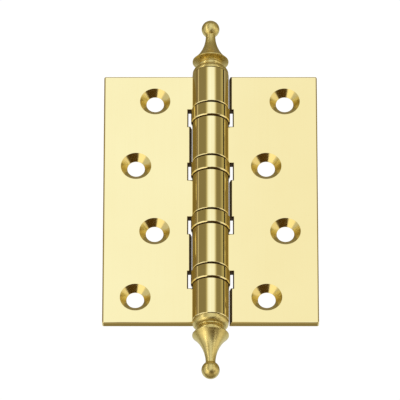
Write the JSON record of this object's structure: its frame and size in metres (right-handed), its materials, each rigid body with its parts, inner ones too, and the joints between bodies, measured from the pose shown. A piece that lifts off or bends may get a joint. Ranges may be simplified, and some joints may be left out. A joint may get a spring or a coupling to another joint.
{
  "type": "door hinge",
  "caption": "Brass butt hinge with thrust ball bearings between the knuckles, countersunk screw holes and a ball-and-skirt finial at each end, opened flat.",
  "frame": {"origin": "on the hinge pin's axis at mid-height", "axes": "+Z along the pin towards the top finial, +X towards the swinging leaf with the hinge opened flat, +Y towards the leaves' plain backs"},
  "size_m": [0.0762, 0.0138, 0.1468],
  "materials": {
    "polished_brass": "mirror polished",
    "bearing_brass": "polished",
    "turned_brass": "turned and buffed",
    "cage_brass": "stamped",
    "bearing_steel": "hardened and ground",
    "pin_steel": "ground"
  },
  "bodies": {
    "fixed_side": {"fixed_leaf": "polished_brass", "hinge_pin": "pin_steel", "finial_top": "turned_brass", "finial_bottom": "turned_brass", "finial_stud_top": "pin_steel", "finial_stud_bottom": "pin_steel", "bearing_1_upper_race": "bearing_steel", "bearing_2_shell": "bearing_brass", "bearing_2_lower_race": "bearing_steel", "bearing_3_upper_race": "bearing_steel", "bearing_4_shell": "bearing_brass", "bearing_4_lower_race": "bearing_steel"},
    "swing_side": {"swing_leaf": "polished_brass", "bearing_1_shell": "bearing_brass", "bearing_1_lower_race": "bearing_steel", "bearing_2_upper_race": "bearing_steel", "bearing_3_shell": "bearing_brass", "bearing_3_lower_race": "bearing_steel", "bearing_4_upper_race": "bearing_steel"},
    "bearing_1_rollers": {"bearing_1_cage": "cage_brass", "bearing_1_balls": "bearing_steel"},
    "bearing_2_rollers": {"bearing_2_cage": "cage_brass", "bearing_2_balls": "bearing_steel"},
    "bearing_3_rollers": {"bearing_3_cage": "cage_brass", "bearing_3_balls": "bearing_steel"},
    "bearing_4_rollers": {"bearing_4_cage": "cage_brass", "bearing_4_balls": "bearing_steel"}
  },
  "joints": [
    {"name": "leaf_swing", "type": "hinge", "parent": "fixed_side", "child": "swing_side", "pos_m": [0, 0, 0], "axis": [0, 0, -1], "range_deg": [-120, 180]},
    {"name": "bearing_1_roll", "type": "hinge", "parent": "fixed_side", "child": "bearing_1_rollers", "pos_m": [0, 0, 0], "axis": [0, 0, -1], "range_deg": [-60, 90]},
    {"name": "bearing_2_roll", "type": "hinge", "parent": "fixed_side", "child": "bearing_2_rollers", "pos_m": [0, 0, 0], "axis": [0, 0, -1], "range_deg": [-60, 90]},
    {"name": "bearing_3_roll", "type": "hinge", "parent": "fixed_side", "child": "bearing_3_rollers", "pos_m": [0, 0, 0], "axis": [0, 0, -1], "range_deg": [-60, 90]},
    {"name": "bearing_4_roll", "type": "hinge", "parent": "fixed_side", "child": "bearing_4_rollers", "pos_m": [0, 0, 0], "axis": [0, 0, -1], "range_deg": [-60, 90]}
  ],
  "couplings": [
    {"joint": "bearing_1_roll", "follows": "leaf_swing", "ratio": 0.5},
    {"joint": "bearing_2_roll", "follows": "leaf_swing", "ratio": 0.5},
    {"joint": "bearing_3_roll", "follows": "leaf_swing", "ratio": 0.5},
    {"joint": "bearing_4_roll", "follows": "leaf_swing", "ratio": 0.5}
  ]
}
